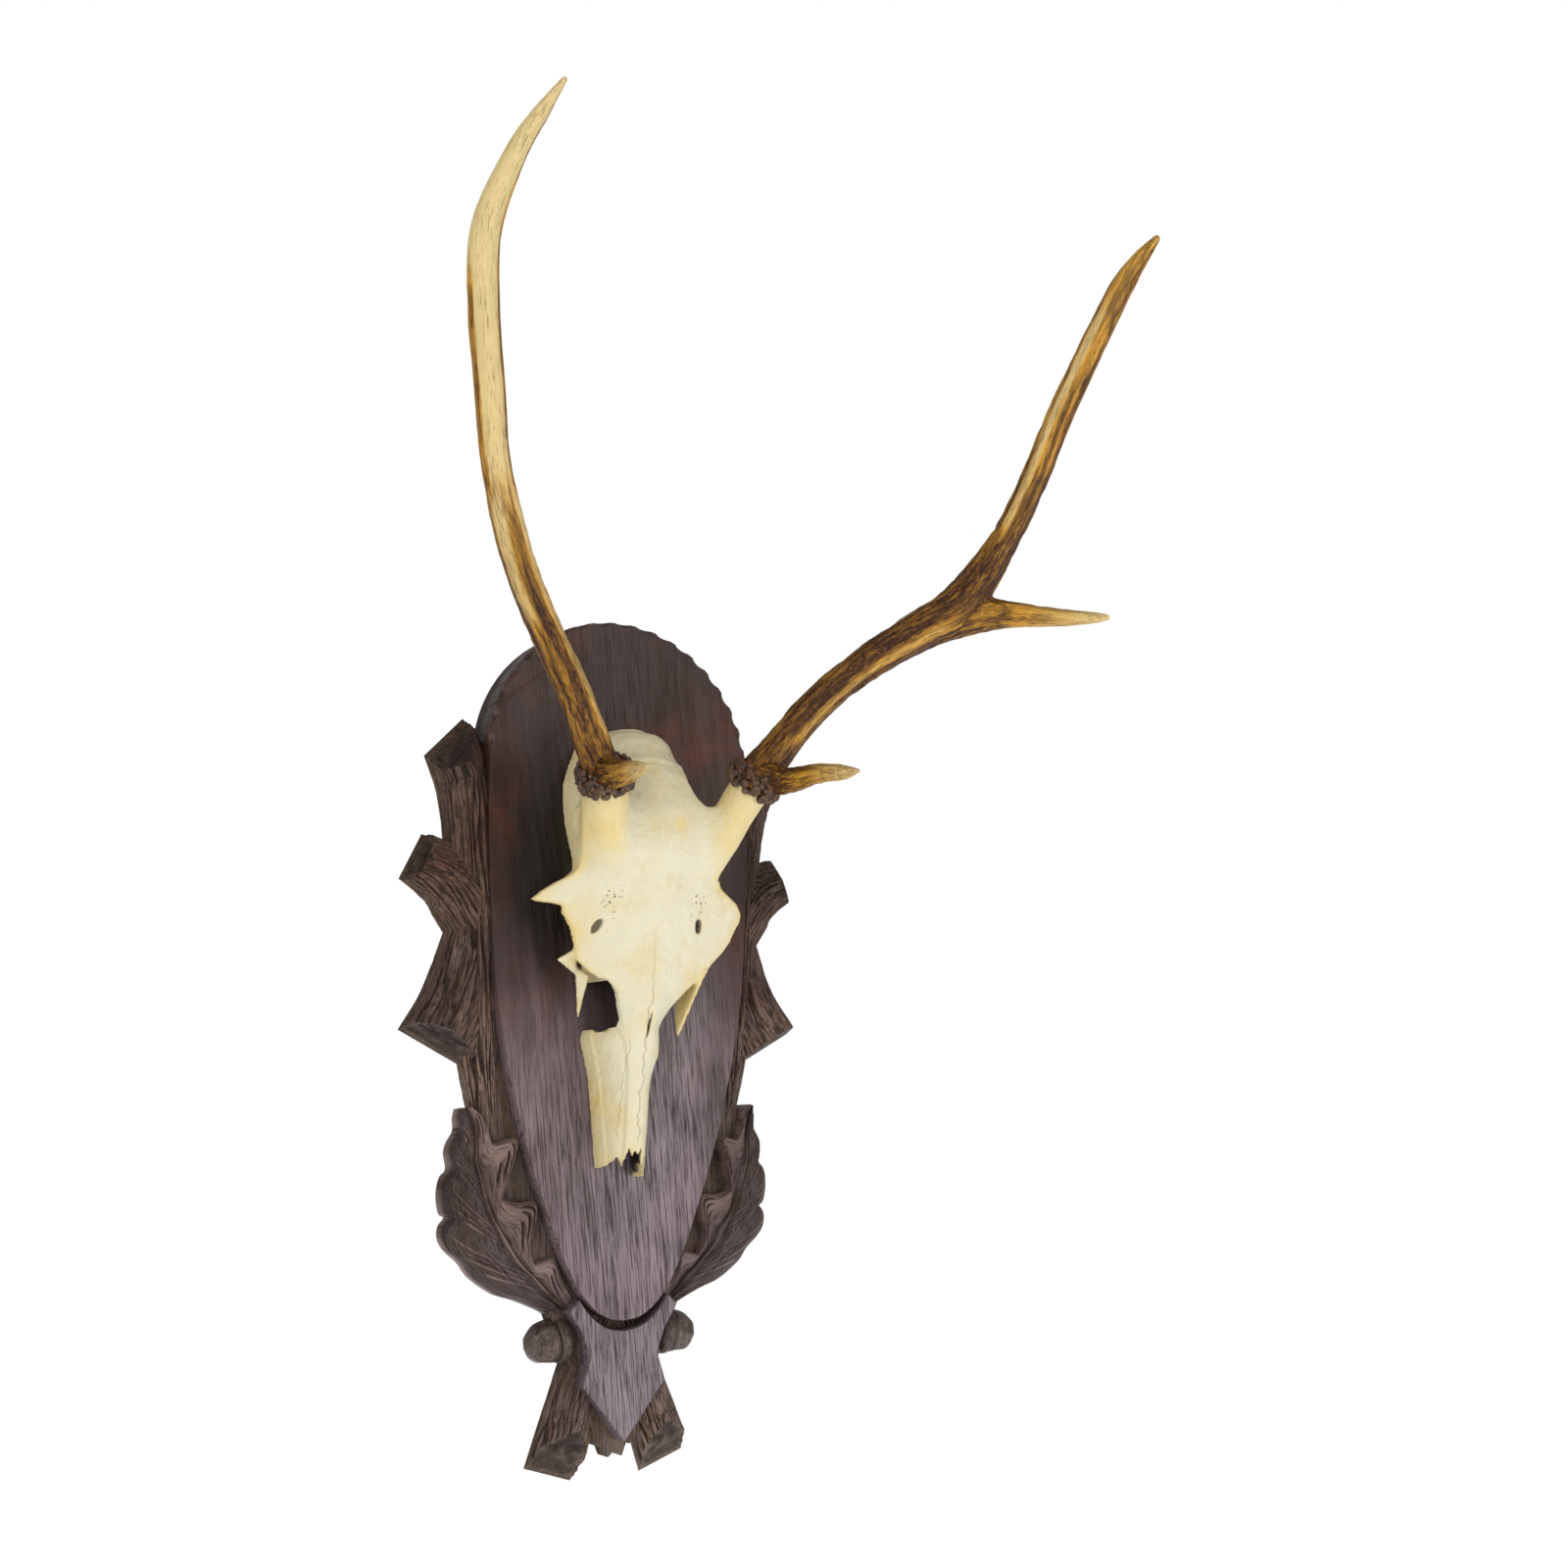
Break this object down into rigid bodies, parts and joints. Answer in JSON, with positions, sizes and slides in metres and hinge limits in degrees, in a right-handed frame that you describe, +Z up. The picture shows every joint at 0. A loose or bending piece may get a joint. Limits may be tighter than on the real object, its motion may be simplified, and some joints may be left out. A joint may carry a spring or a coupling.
{
  "type": "antler mounting plaque",
  "caption": "Wall trophy: a carved oak plaque with branches, oak leaves, acorns and a tip shield, carrying a cut upper deer skull with two antlers",
  "frame": {"origin": "on the plaque's flat back, at the centre of the panel's round top, where it lies on the wall", "axes": "+Z up along the plaque, -Y out of the wall towards the viewer, +X to the viewer's right"},
  "size_m": [0.3786, 0.2737, 0.6275],
  "materials": {
    "oak": "dark stained carved oak, waxed, with a satin sheen",
    "bone": "bleached bone, cream, yellowed at the edges",
    "antler": "antler, dark brown and pearled low down, polished cream ridges and tips"
  },
  "bodies": {
    "root": {"plaque": "oak", "skull": "bone", "antler_left": "antler", "antler_right": "antler"}
  },
  "joints": []
}
